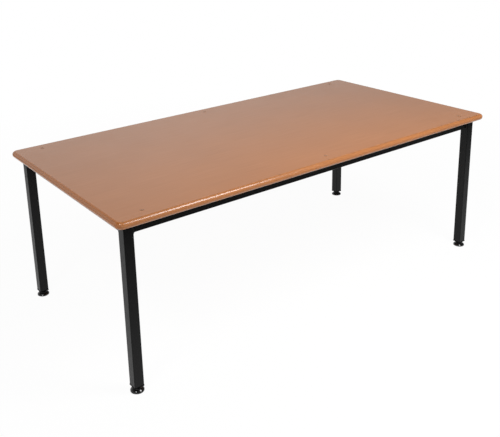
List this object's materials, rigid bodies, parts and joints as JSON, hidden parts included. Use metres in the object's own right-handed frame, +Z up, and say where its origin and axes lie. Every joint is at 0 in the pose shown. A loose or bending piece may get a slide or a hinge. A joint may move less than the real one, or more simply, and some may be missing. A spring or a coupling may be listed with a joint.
{
  "type": "steel frame table",
  "caption": "Rectangular work table with a round-edged tan board screwed to a black welded frame of square tube, standing on screw-in levelling feet.",
  "frame": {"origin": "on the floor, under the middle of the table", "axes": "+X along the long side, +Y to the back, +Z up; the picture looks from the front left"},
  "size_m": [2, 1, 0.7008],
  "materials": {
    "top_lacquer": "smooth satin tan-brown lacquer on a fibre board, no open grain",
    "cap_plastic": "satin plastic cap in the colour of the top",
    "frame_powder_coat": "black powder coat with a fine orange peel, satin",
    "insert_plastic": "moulded black plastic",
    "foot_plastic": "glossy moulded black plastic",
    "sole_rubber": "matt black rubber",
    "black_steel": "steel with a black zinc plating",
    "zinc_steel": "zinc-plated steel"
  },
  "bodies": {
    "table": {"top_board": "top_lacquer", "screw_caps": "cap_plastic", "top_screws": "zinc_steel", "rail_front": "frame_powder_coat", "rail_back": "frame_powder_coat", "rail_left": "frame_powder_coat", "rail_right": "frame_powder_coat", "leg_front_left": "frame_powder_coat", "weld_front_left": "frame_powder_coat", "insert_front_left": "insert_plastic", "insert_nut_front_left": "zinc_steel", "leg_front_right": "frame_powder_coat", "weld_front_right": "frame_powder_coat", "insert_front_right": "insert_plastic", "insert_nut_front_right": "zinc_steel", "leg_back_left": "frame_powder_coat", "weld_back_left": "frame_powder_coat", "insert_back_left": "insert_plastic", "insert_nut_back_left": "zinc_steel", "leg_back_right": "frame_powder_coat", "weld_back_right": "frame_powder_coat", "insert_back_right": "insert_plastic", "insert_nut_back_right": "zinc_steel"},
    "foot_front_left": {"foot_pad_front_left": "foot_plastic", "foot_sole_front_left": "sole_rubber"},
    "stem_front_left": {"foot_stem_front_left": "black_steel"},
    "foot_front_right": {"foot_pad_front_right": "foot_plastic", "foot_sole_front_right": "sole_rubber"},
    "stem_front_right": {"foot_stem_front_right": "black_steel"},
    "foot_back_left": {"foot_pad_back_left": "foot_plastic", "foot_sole_back_left": "sole_rubber"},
    "stem_back_left": {"foot_stem_back_left": "black_steel"},
    "foot_back_right": {"foot_pad_back_right": "foot_plastic", "foot_sole_back_right": "sole_rubber"},
    "stem_back_right": {"foot_stem_back_right": "black_steel"}
  },
  "joints": [
    {"name": "foot_travel_front_left", "type": "slide", "parent": "table", "child": "foot_front_left", "axis": [0, 0, -1], "range_m": [0, 0.0195]},
    {"name": "stem_turn_front_left", "type": "hinge", "parent": "foot_front_left", "child": "stem_front_left", "pos_m": [-0.943, -0.442, 0.018], "axis": [0, 0, -1], "range_deg": [-30, 4710]},
    {"name": "foot_travel_front_right", "type": "slide", "parent": "table", "child": "foot_front_right", "axis": [0, 0, -1], "range_m": [0, 0.0195]},
    {"name": "stem_turn_front_right", "type": "hinge", "parent": "foot_front_right", "child": "stem_front_right", "pos_m": [0.943, -0.442, 0.018], "axis": [0, 0, -1], "range_deg": [-30, 4710]},
    {"name": "foot_travel_back_left", "type": "slide", "parent": "table", "child": "foot_back_left", "axis": [0, 0, -1], "range_m": [0, 0.0195]},
    {"name": "stem_turn_back_left", "type": "hinge", "parent": "foot_back_left", "child": "stem_back_left", "pos_m": [-0.943, 0.442, 0.018], "axis": [0, 0, -1], "range_deg": [-30, 4710]},
    {"name": "foot_travel_back_right", "type": "slide", "parent": "table", "child": "foot_back_right", "axis": [0, 0, -1], "range_m": [0, 0.0195]},
    {"name": "stem_turn_back_right", "type": "hinge", "parent": "foot_back_right", "child": "stem_back_right", "pos_m": [0.943, 0.442, 0.018], "axis": [0, 0, -1], "range_deg": [-30, 4710]}
  ],
  "couplings": [
    {"joint": "stem_turn_front_left", "follows": "foot_travel_front_left", "rad_per_m": 4188.8},
    {"joint": "stem_turn_front_right", "follows": "foot_travel_front_right", "rad_per_m": 4188.8},
    {"joint": "stem_turn_back_left", "follows": "foot_travel_back_left", "rad_per_m": 4188.8},
    {"joint": "stem_turn_back_right", "follows": "foot_travel_back_right", "rad_per_m": 4188.8}
  ]
}
